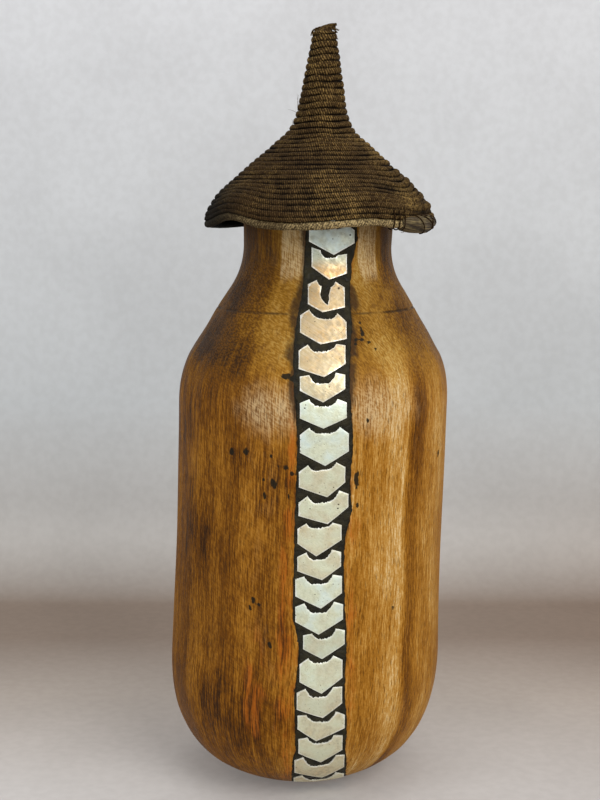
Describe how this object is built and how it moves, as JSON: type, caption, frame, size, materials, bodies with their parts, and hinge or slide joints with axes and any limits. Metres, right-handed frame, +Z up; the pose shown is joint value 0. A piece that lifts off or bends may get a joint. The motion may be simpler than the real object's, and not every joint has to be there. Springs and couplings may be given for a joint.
{
  "type": "lidded wooden pot",
  "caption": "Tall carved wooden milk jar with a row of metal plates inlaid in black pitch down its front and a pointed coiled fibre lid that lifts off.",
  "frame": {"origin": "middle of the flat foot, on the surface that the pot stands on", "axes": "+Z up along the pot's height, -Y towards the front with the row of plates, +X to the right"},
  "size_m": [0.1479, 0.1463, 0.3998],
  "materials": {
    "wood": "hand-carved, oiled and worn, satin",
    "pitch": "black resin, rough with soft gloss",
    "plate": "hand-cut sheet, dull and scratched",
    "fibre": "coiled and stitched plant fibre, smoke-dark"
  },
  "bodies": {
    "vessel": {"vessel": "wood", "pitch": "pitch", "plate_01": "plate", "plate_02": "plate", "plate_03": "plate", "plate_04": "plate", "plate_05": "plate", "plate_06": "plate", "plate_07": "plate", "plate_08": "plate", "plate_09": "plate", "plate_10": "plate", "plate_11": "plate", "plate_12": "plate", "plate_13": "plate", "plate_14": "plate", "plate_15": "plate", "plate_16": "plate", "plate_17": "plate", "plate_18": "plate", "plate_19": "plate", "plate_20": "plate", "plate_21": "plate", "plate_22": "plate"},
    "lid": {"lid_coil": "fibre", "brim_roll": "fibre", "brim_patch": "fibre", "patch_tie_1": "fibre", "patch_tie_2": "fibre", "patch_tie_3": "fibre", "spire_bundle": "fibre"}
  },
  "joints": [
    {"name": "lid_lift", "type": "slide", "parent": "vessel", "child": "lid", "axis": [0, 0, 1], "range_m": [0, 0.12]}
  ]
}
